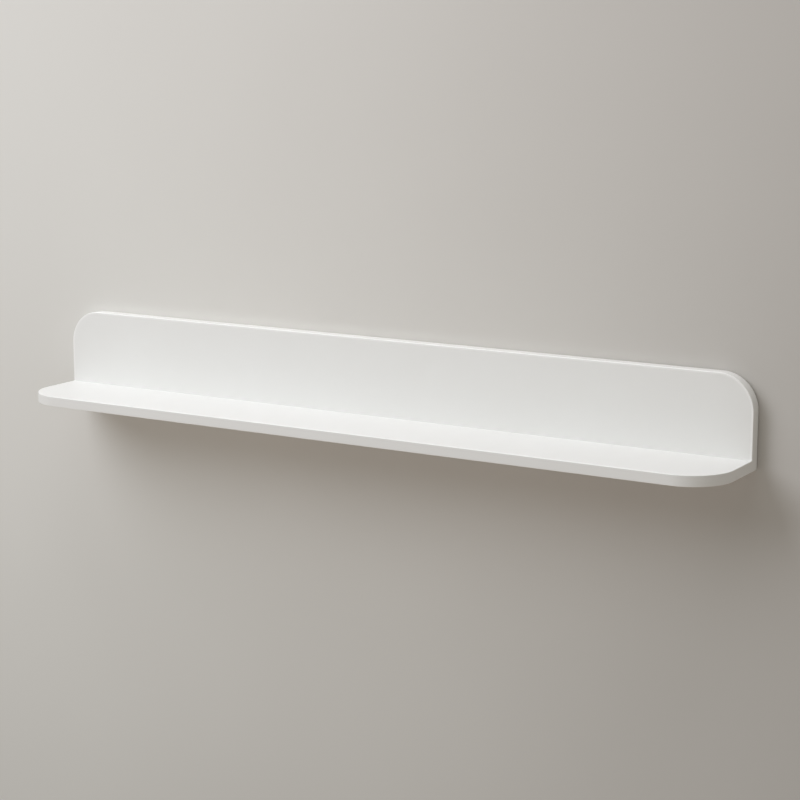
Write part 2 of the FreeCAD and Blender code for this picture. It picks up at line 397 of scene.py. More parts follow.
def screws_of(plate):
    """The screws that hold a hanger plate."""
    side = plate.rsplit("_", 1)[1]
    return [screw for screw in PLATE_SCREWS if f"_{side}_" in screw]


def plate_lines(plate, hangers):
    """A hanger plate's middle, the radius of its ends and the height of its keyhole's entry."""
    low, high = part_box(plate)
    return (low.x + high.x) / 2, (high.x - low.x) / 2, (low.z + high.z - hangers.slot_rise) / 2


def new_object(bm, name, materials):
    """Turns a bmesh into an object of the scene."""
    mesh = bpy.data.meshes.new(name)
    bm.to_mesh(mesh)
    bm.free()
    for material in materials:
        mesh.materials.append(material)
    made = bpy.data.objects.new(name, mesh)
    bpy.context.scene.collection.objects.link(made)
    return made


def add_piece(bm, name, node, materials):
    """Finishes a piece that stands for a node of the frame."""
    bmesh.ops.remove_doubles(bm, verts=bm.verts, dist=WELD)
    bmesh.ops.recalc_face_normals(bm, faces=bm.faces)
    piece = new_object(bm, name, materials)
    piece.data.shade_smooth()
    piece.data.set_sharp_from_angle(angle=SHARP_ANGLE)
    normals = piece.modifiers.new("Flat faces stay flat", "WEIGHTED_NORMAL")
    normals.keep_sharp = True
    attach(piece, BODY)
    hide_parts(node)


def add_alike(nodes, mesh, sizes, kind, material):
    """One piece of a kind for each of some nodes."""
    for node in nodes:
        add_piece(mesh(node, sizes), f"{kind}_{node}", node, [material])


# Boards

def rout(bm, loop, y, spread=1.0):
    """Sinks a loop into a board, which lays its core open."""
    return sink(bm, loop, y, spread, CORE)


def cut_blind(bm, loop, bottom):
    """A cut into a board that ends in a flat bottom."""
    cap(bm, rout(bm, loop, bottom), CORE)


def cut_hanger_pocket(bm, node, hangers):
    """A plate's seat, the hollow behind its keyhole and its screws' holes. Returns the seat's rim."""
    low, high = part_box(node)
    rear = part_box(PANEL)[1].y
    x, radius, entry = plate_lines(node, hangers)
    seat_radius, hollow_radius = radius + hangers.plate_play, hangers.hollow_radius
    rim = keyhole(bm, x, rear, low.z + radius, high.z - radius, seat_radius, seat_radius)
    floor = rout(bm, rim, low.y)
    hollow = keyhole(bm, x, low.y, entry, entry + hangers.slot_rise, hollow_radius, hollow_radius)
    holes = []
    for screw in screws_of(node):
        _, z, _, tip, _ = centre_and_ends(screw)
        holes.append((ring(bm, x, low.y, z, hangers.shank_radius + hangers.play), tip - hangers.tip_gap))
    fill_flat(bm, floor + hollow + [edge for hole, _ in holes for edge in hole], CORE)
    cut_blind(bm, hollow, rear - hangers.hollow_depth)
    for hole, bottom in holes:
        cut_blind(bm, hole, bottom)
    return rim


def cut_joint_bore(bm, node, joints):
    """A joint screw's countersunk way through the panel. Returns its rim at the rear."""
    front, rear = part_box(PANEL)[0].y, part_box(PANEL)[1].y
    x, z, head_face, _, head_radius = centre_and_ends(node)
    head, shank = head_radius + joints.play, joints.shank_radius + joints.play
    rim = ring(bm, x, rear, z, head)
    seat = rout(bm, rim, head_face - joints.head_rim)
    neck = rout(bm, seat, head_face - joints.head_rim - head + shank, spread=shank / head)
    rout(bm, neck, front)
    return rim


def panel_mesh(boards, joints, hangers):
    """The upright panel, rounded at its front above the ledge, with pockets and bores from behind."""
    low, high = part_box(PANEL)
    ledge_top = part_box(BOARD)[1].z
    bm = box_between(low, high)
    corners = ((high.z, boards.panel_corner, CORNER_STEPS), (low.z, boards.arris, ARRIS_STEPS))
    for z, radius, steps in corners:
        ends = [edge for edge in where(bm.edges, lambda co: near(co.z, z)) if runs_along(edge, Y)]
        round_edges(bm, ends, radius, steps)
    round_edges(bm, where(bm.edges, lambda co: near(co.y, high.y)), boards.rear_ease, EASE_STEPS)
    whole = bm.verts[:] + bm.edges[:] + bm.faces[:]
    bmesh.ops.bisect_plane(bm, geom=whole, dist=WELD, plane_co=(0, 0, ledge_top), plane_no=(0, 0, 1))
    front = where(bm.edges, lambda co: near(co.y, low.y) and co.z > ledge_top - WELD)
    front = [edge for edge in front if max(vert.co.z for vert in edge.verts) > ledge_top + WELD]
    round_edges(bm, front, boards.arris, ARRIS_STEPS)
    rear_edges = open_faces(bm, where(bm.faces, lambda co: near(co.y, high.y)))
    for node in PLATES:
        rear_edges += cut_hanger_pocket(bm, node, hangers)
    for node in JOINT_SCREWS:
        rear_edges += cut_joint_bore(bm, node, joints)
    fill_flat(bm, rear_edges, FINISH)
    for node in DOWELS:
        x, z, start, _, radius = centre_and_ends(node)
        cut_blind(bm, ring(bm, x, low.y, z, radius + joints.play), start + joints.dowel_end_gap)
    foot = where(bm.faces, lambda co: near(co.y, low.y) and co.z < ledge_top + WELD)
    bmesh.ops.delete(bm, geom=foot, context="FACES")
    fill_flat(bm, open_rims(bm), FINISH)
    ease_mouths(bm, boards.rim_ease)
    return bm


def board_mesh(boards, joints):
    """The ledge, with rounded front corners and arrises, bored from its rear edge."""
    low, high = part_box(BOARD)
    bm = box_between(low, high)
    upright = [edge for edge in where(bm.edges, lambda co: near(co.y, low.y)) if runs_along(edge, Z)]
    round_edges(bm, upright, boards.board_corner, CORNER_STEPS)
    level = [edge for edge in bm.edges if near(edge.verts[0].co.z, edge.verts[1].co.z)]
    outline = [edge for edge in level if not all(near(vert.co.y, high.y) for vert in edge.verts)]
    round_edges(bm, outline, boards.arris, ARRIS_STEPS)
    open_faces(bm, where(bm.faces, lambda co: near(co.y, high.y)))
    for node in JOINT_SCREWS:
        x, z, _, tip, _ = centre_and_ends(node)
        cut_blind(bm, ring(bm, x, high.y, z, joints.shank_radius + joints.play), tip - joints.tip_gap)
    for node in DOWELS:
        x, z, _, end, radius = centre_and_ends(node)
        cut_blind(bm, ring(bm, x, high.y, z, radius + joints.play), end - joints.dowel_end_gap)
    fill_flat(bm, open_rims(bm), FINISH)
    ease_mouths(bm, boards.rim_ease)
    return bm


# Fixings

def set_in_place(bm, node):
    """Moves a fastener from the Y axis to its own."""
    x, z, _, _, _ = centre_and_ends(node)
    bmesh.ops.translate(bm, vec=(x, 0.0, z), verts=bm.verts)
    return bm


def dowel_mesh(node, joints):
    """A fluted dowel with chamfered ends."""
    _, _, start, end, radius = centre_and_ends(node)
    chamfer = joints.dowel_chamfer
    bm = bmesh.new()
    rim = ring(bm, 0.0, start - chamfer, 0.0, radius, steps=joints.flutes * FLUTE_STEPS)
    spacing = 2 * math.pi / joints.flutes
    for vert in bm.verts:
        turn = math.atan2(vert.co.z, vert.co.x)
        off_centre = radius * (turn - spacing * round(turn / spacing))
        sag = math.sqrt(max(joints.flute_radius ** 2 - off_centre ** 2, 0.0))
        groove = max(sag - joints.flute_radius + joints.flute_depth, 0.0)
        vert.co *= Vector((1 - groove / radius, 1.0, 1 - groove / radius))
    far_rim = sink(bm, rim, end + chamfer)
    for loop, y in ((rim, start), (far_rim, end)):
        cap(bm, sink(bm, loop, y, spread=1 - chamfer / radius))
    return set_in_place(bm, node)


def ridge(phase):
    """Height of a thread's ridge, from 0 to 1, at a share of its pitch."""
    rise, crest, fall, foot = RIDGE_SHARES
    if phase < rise:
        return 0.0
    if phase < crest:
        return (phase - rise) / (crest - rise)
    return min(1.0, (foot - phase) / (foot - fall))


def screw_mesh(node, sizes):
    """A countersunk screw along Y with a turned body and a helical thread. Its head's face is left open."""
    _, _, face, tip, head = centre_and_ends(node)
    rim = face - sizes.head_rim
    neck = rim - head + sizes.shank_radius
    thread = face - sizes.shank_length
    profile = [(face, head - sizes.head_ease), (face - sizes.head_ease, head), (rim, head)]
    profile += [(neck, sizes.shank_radius), (thread, sizes.shank_radius)]
    step = sizes.pitch / THREAD_STEPS
    for index in range(1, int((thread - tip) / step)):
        y = thread - index * step
        profile.append((y, sizes.core_radius * min(1.0, (y - tip) / sizes.tip_length)))
    profile.append((tip, 0.0))
    bm = bmesh.new()
    chain = [bm.verts.new((radius, y, 0.0)) for y, radius in profile]
    edges = [bm.edges.new(pair) for pair in zip(chain, chain[1:])]
    bmesh.ops.spin(bm, geom=chain + edges, cent=(0, 0, 0), axis=(0, 1, 0), angle=2 * math.pi,
                   steps=RING_STEPS, use_merge=True)
    bmesh.ops.remove_doubles(bm, verts=bm.verts, dist=WELD)
    for vert in bm.verts:
        if vert.co.y < thread - WELD:
            turns = (thread - vert.co.y) / sizes.pitch
            phase = (turns - math.atan2(vert.co.z, vert.co.x) / (2 * math.pi)) % 1.0
            swell = 1 + (sizes.shank_radius / sizes.core_radius - 1) * ridge(phase) * min(1.0, turns)
            vert.co *= Vector((swell, 1.0, swell))
    return bm


def joint_screw_mesh(node, joints):
    """A joint screw with a hexagon socket that ends in a drilled point."""
    bm = screw_mesh(node, joints)
    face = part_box(node)[1].y
    socket = ring(bm, 0.0, face, 0.0, joints.socket_across / math.sqrt(3), steps=SOCKET_CORNERS)
    fill_flat(bm, open_rims(bm) + socket, FINISH)
    walls = sink(bm, socket, face - joints.socket_depth * SOCKET_WALL_SHARE)
    bottom = sink(bm, walls, face - joints.socket_depth, spread=SOCKET_BOTTOM_SHARE)
    cap(bm, bottom)
    return set_in_place(bm, node)


def plate_screw_mesh(node, hangers):
    """A plate screw with a tapered cross recess."""
    bm = screw_mesh(node, hangers)
    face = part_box(node)[1].y
    arm, half = hangers.cross_length / 2, hangers.cross_width / 2
    quarter = (Vector((half, face, arm)), Vector((half, face, half)), Vector((arm, face, half)))
    verts = []
    for index in range(CROSS_ARMS):
        turn = Matrix.Rotation(math.tau * index / CROSS_ARMS, 3, "Y")
        verts += [bm.verts.new(turn @ corner) for corner in quarter]
    cross = [bm.edges.new(pair) for pair in zip(verts, verts[1:] + verts[:1])]
    fill_flat(bm, open_rims(bm) + cross, FINISH)
    bottom = sink(bm, cross, face - hangers.cross_depth, spread=CROSS_BOTTOM_SHARE)
    cap(bm, bottom)
    return set_in_place(bm, node)


def plate_mesh(node, hangers):
    """A stamped keyhole plate with a countersunk hole near each end."""
    low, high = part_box(node)
    x, radius, entry = plate_lines(node, hangers)
    bm = bmesh.new()
    outline = keyhole(bm, x, high.y, low.z + radius, high.z - radius, radius, radius)
    cut = keyhole(bm, x, high.y, entry, entry + hangers.slot_rise, hangers.entry_radius,
                  hangers.slot_half_width)
    holes = []
    for screw in screws_of(node):
        _, z, _, _, head = centre_and_ends(screw)
        holes.append((ring(bm, x, high.y, z, head + hangers.play), head))
    fill_flat(bm, outline + cut + [edge for rim, _ in holes for edge in rim], FINISH)
    far = sink(bm, outline, low.y) + sink(bm, cut, low.y)
    shank = hangers.shank_radius + hangers.play
    for rim, head in holes:
        seat_y = high.y - hangers.head_rim
        neck_y = seat_y - head + hangers.shank_radius
        seat = sink(bm, rim, seat_y)
        neck = sink(bm, seat, neck_y, spread=shank / (head + hangers.play))
        far += sink(bm, neck, low.y)
    fill_flat(bm, far, FINISH)
    stamped = [edge for edge in bm.edges if edge.calc_face_angle(0.0) > STAMPED_ANGLE]
    level = [edge for edge in stamped if near(edge.verts[0].co.y, edge.verts[1].co.y)]
    outer = [edge for edge in level if near(edge.verts[0].co.y, high.y) or near(edge.verts[0].co.y, low.y)]
    round_edges(bm, outer, hangers.plate_edge, EASE_STEPS)
    return bm


# Shading tools

def feed(tree, node, inputs):
    """Sets a node's inputs. A value is the same all over, and another node's output is linked."""
    for name, value in inputs.items():
        if isinstance(value, bpy.types.NodeSocket):
            tree.links.new(value, node.inputs[name])
        else:
            node.inputs[name].default_value = value


def add(tree, kind, inputs=None, **settings):
    """A new node with its settings and its inputs."""
    node = tree.nodes.new(kind)
    for name, value in settings.items():
        setattr(node, name, value)
    feed(tree, node, inputs or {})
    return node


def maths(tree, operation, first, second=0.0):
    return add(tree, "ShaderNodeMath", {0: first, 1: second}, operation=operation).outputs[0]


def vector_maths(tree, operation, first, second=(0.0, 0.0, 0.0)):
    """A vector, or the value of an operation that gives one number."""
    node = add(tree, "ShaderNodeVectorMath", {0: first, 1: second}, operation=operation)
    return node.outputs["Value" if operation in {"DOT_PRODUCT", "LENGTH"} else "Vector"]


def parts_of(tree, vector):
    """A vector's X, Y and Z."""
    return add(tree, "ShaderNodeSeparateXYZ", {0: vector}).outputs


def ranged(tree, value, start, end, low=0.0, high=1.0, easing="LINEAR"):
    """A number from low to high, as a value goes from start to end."""
    inputs = {"Value": value, "From Min": start, "From Max": end, "To Min": low, "To Max": high}
    return add(tree, "ShaderNodeMapRange", inputs, interpolation_type=easing).outputs[0]


def mixed(tree, factor, *shades):
    """A colour between two others. Each is given as three numbers or an output.

    The Mix node keeps its sockets for colours behind those for numbers and vectors.
    """
    first, second = (shade if isinstance(shade, bpy.types.NodeSocket) else (*shade, 1.0) for shade in shades)
    return add(tree, "ShaderNodeMix", {0: factor, 6: first, 7: second}, data_type="RGBA").outputs[2]


def place_group(tree, name, inputs, output, fill, values):
    """Places a node group with its own values in a tree, and returns what it puts out.

    The group is built once. Inputs holds the defaults by name, and fill makes the nodes inside.
    """
    group = bpy.data.node_groups.get(name)
    if group is None:
        group = bpy.data.node_groups.new(name, "ShaderNodeTree")
        for label, default in inputs.items():
            kind = "NodeSocketVector" if isinstance(default, tuple) else "NodeSocketFloat"
            group.interface.new_socket(label, in_out="INPUT", socket_type=kind).default_value = default
        group.interface.new_socket(output, in_out="OUTPUT", socket_type="NodeSocketFloat")
        result = fill(group, add(group, "NodeGroupInput").outputs)
        add(group, "NodeGroupOutput", {output: result})
    return add(tree, "ShaderNodeGroup", dict(zip(inputs, values)), node_tree=group).outputs[0]


# Effects that materials share

def uneven(tree, place, scale, detail, low=0.0, high=1.0, roughness=0.5):
    """A value that drifts between two others over the surface."""
    def fill(inside, given):
        texture = {name: given[name] for name in ("Vector", "Scale", "Detail", "Roughness")}
        noise = add(inside, "ShaderNodeTexNoise", texture).outputs[0]
        return ranged(inside, noise, NOISE_LOW, NOISE_HIGH, given["Low"], given["High"])

    inputs = {"Vector": (0.0, 0.0, 0.0), "Scale": 1.0, "Detail": 2.0, "Low": 0.0, "High": 1.0,
              "Roughness": 0.5}
    values = (place, scale, detail, low, high, roughness)
    return place_group(tree, "Uneven", inputs, "Value", fill, values)


def streaks(tree, place, density):
    """Fine streaks, drawn out by a different amount along each axis."""
    drawn = vector_maths(tree, "MULTIPLY", place, density)
    return uneven(tree, drawn, scale=1.0, detail=4.0, roughness=0.6)


def arris(tree, flat_side):
    """A mask of a board's rounded arrises, from how its surface turns away from the board's flat side."""
    def fill(inside, given):
        normal = add(inside, "ShaderNodeNewGeometry").outputs["Normal"]
        facing = vector_maths(inside, "DOT_PRODUCT", normal, given["Flat side"])
        square = maths(inside, "MULTIPLY", facing, facing)
        turned = maths(inside, "MULTIPLY", square, maths(inside, "SUBTRACT", 1.0, square))
        return maths(inside, "DIVIDE", turned, MOST_TURNED)

    return place_group(tree, "Arris", {"Flat side": (0.0, 1.0, 0.0)}, "Mask", fill, [flat_side])


def fat_edge_highlight(tree, along, across, half_length, reach, corner, width, lit_sides):
    """A mask of the band along a board's outline, where sprayed lacquer gathers and a highlight is painted.

    Across is measured over the board, from its length up to the side that has the rounded corners. The
    last input says which way a face looks that takes the band, so that only lit faces take the painted
    highlight.
    """
    def fill(inside, given):
        flat_half = maths(inside, "SUBTRACT", given["Half length"], given["Corner"])
        flat_reach = maths(inside, "SUBTRACT", given["Reach"], given["Corner"])
        past_end = maths(inside, "SUBTRACT", maths(inside, "ABSOLUTE", given["Along"]), flat_half)
        past_side = maths(inside, "SUBTRACT", given["Across"], flat_reach)
        outward = [maths(inside, "MAXIMUM", past, 0.0) for past in (past_end, past_side)]
        round_part = add(inside, "ShaderNodeCombineXYZ", dict(enumerate(outward))).outputs[0]
        inner = maths(inside, "MINIMUM", maths(inside, "MAXIMUM", past_end, past_side), 0.0)
        past = maths(inside, "ADD", vector_maths(inside, "LENGTH", round_part), inner)
        depth = maths(inside, "SUBTRACT", given["Corner"], past)
        band = ranged(inside, depth, given["Width"], 0.0, easing="SMOOTHSTEP")
        # Only faces that look the given ways take the band, a painted highlight on the lit faces
        normal = add(inside, "ShaderNodeNewGeometry").outputs["Normal"]
        square = vector_maths(inside, "MULTIPLY", normal, normal)
        facing = vector_maths(inside, "DOT_PRODUCT", square, given["Kept sides"])
        return maths(inside, "MULTIPLY", band, facing)

    inputs = {"Along": 0.0, "Across": 0.0, "Half length": 1.0, "Reach": 1.0, "Corner": 0.1, "Width": 0.01,
              "Kept sides": (1.0, 1.0, 1.0)}
    values = (along, across, half_length, reach, corner, width, lit_sides)
    return place_group(tree, "Fat edge", inputs, "Mask", fill, values)


# Materials

def new_material(name):
    """A material with a Principled shader. Returns its tree, its shader and its Object coordinates too."""
    material = bpy.data.materials.new(name)
    material.use_nodes = True
    tree = material.node_tree
    shader = tree.nodes["Principled BSDF"]
    return material, tree, shader, add(tree, "ShaderNodeTexCoord").outputs["Object"]


def set_bump(tree, shader, height, strength, distance):
    bump = add(tree, "ShaderNodeBump", {"Height": height, "Strength": strength, "Distance": distance})
    feed(tree, shader, {"Normal": bump.outputs["Normal"]})


def satin_lacquer(name, node, corner, finishes):
    """Sprayed satin lacquer: faint orange peel, uneven sheen, glossier and with a painted highlight along
    the edges.
    """
    material, tree, shader, place = new_material(name)
    low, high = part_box(node)
    over = parts_of(tree, place)
    # The outline band is a painted highlight as well as a fuller coat: it goes only on faces that the light
    # falls on, the panel's front and top and the ledge's top.
    if node == PANEL:
        across, reach = over["Z"], high.z
        flat_side, lit_sides = (0.0, 1.0, 0.0), (0.0, 1.0, 1.0)
    else:
        across, reach = maths(tree, "MULTIPLY", over["Y"], -1.0), -low.y
        flat_side, lit_sides = (0.0, 0.0, 1.0), (0.0, 0.0, 1.0)
    turned = arris(tree, flat_side)
    fat = fat_edge_highlight(tree, over["X"], across, high.x, reach, corner, finishes.fat_edge_highlight, lit_sides)
    full = maths(tree, "MAXIMUM", turned, fat)
    thin = uneven(tree, place, scale=7.0, detail=3.0, high=0.45)
    white = mixed(tree, thin, finishes.lacquer, finishes.lacquer_thin)
    sheen = uneven(tree, place, scale=38.0, detail=4.0, low=0.40, high=0.48)
    feed(tree, shader, {
        # Painted highlight: whiter lacquer on the arrises and the outline band
        "Base Color": mixed(tree, full, white, finishes.lacquer_highlight),
        "Roughness": maths(tree, "SUBTRACT", sheen, maths(tree, "MULTIPLY", turned, ARRIS_GLOSS)),
        "Coat Weight": full,
        "Coat Roughness": 0.3,
        "Coat IOR": 1.7,
    })
    peel = uneven(tree, place, scale=620.0, detail=1.0)
    set_bump(tree, shader, peel, strength=0.25, distance=0.00002)
    return material


def bare_fibreboard(name, finishes):
    """Cut fibreboard: short pressed fibres, dull and a little furry."""
    material, tree, shader, place = new_material(name)
    fibres = streaks(tree, place, density=(450.0, 1900.0, 1100.0))
    clumps = uneven(tree, place, scale=260.0, detail=4.0, high=0.4)
    shade = maths(tree, "ADD", maths(tree, "MULTIPLY", fibres, FIBRE_SHARE), clumps)
    feed(tree, shader, {
        "Base Color": mixed(tree, shade, finishes.fibreboard, finishes.fibreboard_dark),
        "Roughness": uneven(tree, place, scale=500.0, detail=2.0, low=0.82, high=0.95),
    })
    set_bump(tree, shader, fibres, strength=0.6, distance=0.00008)
    return material


def turned_beech(name, finishes):
    """Beech with its grain along the dowel and short flecks across it."""
    material, tree, shader, place = new_material(name)
    grain = streaks(tree, place, density=(1400.0, 60.0, 1400.0))
    flecks = maths(tree, "GREATER_THAN", streaks(tree, place, density=(500.0, 330.0, 3200.0)), FLECK_START)
    shade = maths(tree, "MAXIMUM", maths(tree, "MULTIPLY", grain, GRAIN_SHARE),
                  maths(tree, "MULTIPLY", flecks, FLECK_SHARE))
    feed(tree, shader, {
        "Base Color": mixed(tree, shade, finishes.beech, finishes.beech_grain),
        "Roughness": uneven(tree, place, scale=300.0, detail=2.0, low=0.5, high=0.68),
    })
    set_bump(tree, shader, grain, strength=0.4, distance=0.00006)
    return material


def zinc(name, bright, dull, density, smoothest, roughest):
    """Plated steel: drawn-out marks, dull patches and an uneven shine."""
    material, tree, shader, place = new_material(name)
    marks = streaks(tree, place, density)
    patches = uneven(tree, place, scale=190.0, detail=6.0, low=-0.3, high=0.8)
    shade = maths(tree, "ADD", maths(tree, "MULTIPLY", marks, MARK_SHARE), patches)
    shine = uneven(tree, place, scale=420.0, detail=4.0, low=smoothest, high=roughest)
    feed(tree, shader, {
        "Base Color": mixed(tree, shade, bright, dull),
        "Metallic": 1.0,
        "Roughness": maths(tree, "ADD", shine, maths(tree, "MULTIPLY", marks, MARK_DULLNESS)),
    })
    set_bump(tree, shader, marks, strength=0.5, distance=0.00003)
    return material


def kept(build, name, *values, **settings):
    """A material by name, built the first time that it is asked for.

    No name here is one of the frame's own, because those materials are plain.
    """
    return bpy.data.materials.get(name) or build(name, *values, **settings)


def plate_zinc(finishes):
    return kept(zinc, "brushed_plate_zinc", finishes.plate, finishes.plate_dull,
                density=(1600.0, 1600.0, 60.0), smoothest=0.36, roughest=0.54)


def screw_zinc(finishes):
    return kept(zinc, "yellow_screw_zinc", finishes.screw, finishes.screw_tint,
                density=(1500.0, 700.0, 1500.0), smoothest=0.28, roughest=0.44)


def add_board(bm, name, node, lacquer, corner, finishes):
    """Finishes a board in lacquer, with bare fibreboard in its cuts."""
    materials = [kept(satin_lacquer, lacquer, node, corner, finishes),
                 kept(bare_fibreboard, "bare_fibreboard", finishes)]
    add_piece(bm, name, node, materials)


# Operators

class SHELF_OT_back_panel(bpy.types.Operator):
    """Build the upright back panel with its hanger pockets and bores"""

    bl_idname = "wall_shelf.back_panel"
    bl_label = "Back panel"

    def execute(self, context):
        scene = context.scene
        bm = panel_mesh(scene.shelf_boards, scene.shelf_joints, scene.shelf_hangers)
        corner = scene.shelf_boards.panel_corner
        add_board(bm, "lacquered_back_panel", PANEL, "panel_lacquer", corner, scene.shelf_finishes)
        return {"FINISHED"}


class SHELF_OT_ledge_board(bpy.types.Operator):
    """Build the ledge board with its bored rear edge"""

    bl_idname = "wall_shelf.ledge_board"
    bl_label = "Ledge board"

    def execute(self, context):
        scene = context.scene
        bm = board_mesh(scene.shelf_boards, scene.shelf_joints)
        corner = scene.shelf_boards.board_corner
        add_board(bm, "lacquered_ledge_board", BOARD, "board_lacquer", corner, scene.shelf_finishes)
        return {"FINISHED"}


class SHELF_OT_dowels(bpy.types.Operator):
    """Build the fluted dowels between the boards"""

    bl_idname = "wall_shelf.dowels"
    bl_label = "Dowels"

    def execute(self, context):
        scene = context.scene
        beech = kept(turned_beech, "turned_beech", scene.shelf_finishes)
        add_alike(DOWELS, dowel_mesh, scene.shelf_joints, "fluted", beech)
        return {"FINISHED"}


class SHELF_OT_joint_screws(bpy.types.Operator):
    """Build the joint screws that hold the ledge to the panel"""

    bl_idname = "wall_shelf.joint_screws"
    bl_label = "Joint screws"

    def execute(self, context):
        scene = context.scene
        steel = screw_zinc(scene.shelf_finishes)
        add_alike(JOINT_SCREWS, joint_screw_mesh, scene.shelf_joints, "socket", steel)
        return {"FINISHED"}


class SHELF_OT_hanger_plates(bpy.types.Operator):
    """Build the keyhole plates in the panel's rear face"""

    bl_idname = "wall_shelf.hanger_plates"
    bl_label = "Hanger plates"

    def execute(self, context):
        scene = context.scene
        steel = plate_zinc(scene.shelf_finishes)
        add_alike(PLATES, plate_mesh, scene.shelf_hangers, "keyhole", steel)
        return {"FINISHED"}


class SHELF_OT_plate_screws(bpy.types.Operator):
    """Build the small screws that hold the keyhole plates"""

    bl_idname = "wall_shelf.plate_screws"
    bl_label = "Plate screws"

    def execute(self, context):
        scene = context.scene
        steel = screw_zinc(scene.shelf_finishes)
        add_alike(PLATE_SCREWS, plate_screw_mesh, scene.shelf_hangers, "cross", steel)
        return {"FINISHED"}


# Studio

def make_matt(tree, shader, clearness):
    """Takes the shine off a surface of the stage and lets the eye through it where it is clear."""
    feed(tree, shader, {"Roughness": 0.95, "Specular IOR Level": 0.1})
    clear = add(tree, "ShaderNodeBsdfTransparent").outputs[0]
    both = add(tree, "ShaderNodeMixShader", {0: clearness, 1: shader.outputs[0], 2: clear})
    feed(tree, tree.nodes["Material Output"], {"Surface": both.outputs[0]})


def backdrop_matt(stage):
    """Matt paint with painted light and shade, lighter left and darker right and far out, seen from its
    front only.

    The lip round the opening turns darker towards the shelf's ends, a painted shadow along the gap.
    """
    material, tree, shader, place = new_material("backdrop_matt")
    # Painted light and shade: lighter to the left, darker to the right
    share = ranged(tree, parts_of(tree, place)["X"], -stage.wall_blend, stage.wall_blend)
    drift = uneven(tree, place, scale=2.0, detail=2.0, low=-0.04, high=0.04)
    paint = mixed(tree, maths(tree, "ADD", share, drift), stage.wall_left_lit, stage.wall_right_shaded)
    surface = add(tree, "ShaderNodeNewGeometry").outputs
    # Painted shadow: the lip turns dark where it faces sideways, at the shelf's ends
    sideways = parts_of(tree, surface["Normal"])["X"]
    paint = mixed(tree, maths(tree, "MULTIPLY", sideways, sideways), paint, stage.gap)
    # Painted shade: darker far from the shelf
    reach = vector_maths(tree, "LENGTH", place)
    dim = ranged(tree, reach, stage.wall_dim_start, stage.wall_dim_end, high=stage.wall_dim)
    feed(tree, shader, {"Base Color": mixed(tree, dim, paint, BLACK)})
    make_matt(tree, shader, surface["Backfacing"])
    return material


def floor_matt(stage):
    """A plain pale floor, seen from above only, that fades into the surround."""
    material, tree, shader, place = new_material("floor_matt")
    drift = uneven(tree, place, scale=2.0, detail=2.0, high=0.08)
    darker = [FLOOR_DARK_SHARE * part for part in stage.floor]
    feed(tree, shader, {
        "Base Color": mixed(tree, drift, stage.floor, darker),
        "Emission Color": (*stage.floor, 1.0),
        "Emission Strength": stage.floor_glow,
    })
    reach = vector_maths(tree, "LENGTH", place)
    fade = ranged(tree, reach, stage.floor_fade_start, stage.floor_fade_end, easing="SMOOTHSTEP")
    behind = add(tree, "ShaderNodeNewGeometry").outputs["Backfacing"]
    make_matt(tree, shader, maths(tree, "MAXIMUM", behind, fade))
    return material


def add_stage_piece(bm, name, material):
    piece = new_object(bm, name, [material])
    return piece


def upright_face(bm, y, left, right, foot, head):
    corners = ((left, y, foot), (right, y, foot), (right, y, head), (left, y, head))
    return bm.faces.new([bm.verts.new(corner) for corner in corners])


def add_backdrop(stage, boards):
    """An upright backdrop, open just behind the panel, so that the panel's rear face takes light.

    A lip round the opening keeps that light out of the gap along the panel's edges.
    """
    low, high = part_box(PANEL)
    inset = stage.opening_inset
    y = high.y + stage.wall_gap
    radius = boards.panel_corner - inset
    half, floor = stage.wall_size, low.z - stage.floor_drop
    bm = bmesh.new()
    opening = upright_face(bm, y, low.x + inset, high.x - inset, low.z + inset, high.z - inset)
    bmesh.ops.bevel(bm, geom=opening.verts[2:], offset=radius, offset_type="OFFSET", segments=CORNER_STEPS,
                    profile=0.5, affect="VERTICES", material=-1)
    rim = bm.edges[:]
    upright_face(bm, y, -half, half, floor, floor + 2 * half)
    bmesh.ops.delete(bm, geom=bm.faces[:], context="FACES_ONLY")
    bmesh.ops.triangle_fill(bm, use_beauty=True, edges=bm.edges[:], normal=(0.0, -1.0, 0.0))
    lip = bmesh.ops.extrude_edge_only(bm, edges=rim)["geom"]
    bmesh.ops.translate(bm, vec=(0.0, -LIP_SHARE * stage.wall_gap, 0.0), verts=verts_in(lip))
    middle = (low + high) / 2
    for face in bm.faces:
        face.normal_update()
        out = face.calc_center_median() - middle
        if face.normal.dot(Vector((out.x, -1.0, out.z))) < 0:
            face.normal_flip()
    add_stage_piece(bm, "backdrop", backdrop_matt(stage))


def add_floor(stage):
    bm = bmesh.new()
    level = Matrix.Translation((0.0, 0.0, cad_low.z - stage.floor_drop))
    bmesh.ops.create_grid(bm, x_segments=1, y_segments=1, size=stage.wall_size, matrix=level)
    return add_stage_piece(bm, "pale_floor", floor_matt(stage))


def add_softbox(stage, name):
    """One of the stage's round softboxes, by the first word of its properties."""
    light = bpy.data.lights.new(f"{name}_softbox", "AREA")
    light.shape = "DISK"
    light.size = getattr(stage, f"{name}_size")
    light.energy = getattr(stage, f"{name}_power")
    light.color = getattr(stage, f"{name}_tint")
    lamp = bpy.data.objects.new(f"{name}_softbox", light)
    lamp.location = getattr(stage, f"{name}_place")
    lamp.rotation_euler = (Vector(stage.light_aim) - lamp.location).to_track_quat("-Z", "Y").to_euler()
    bpy.context.scene.collection.objects.link(lamp)


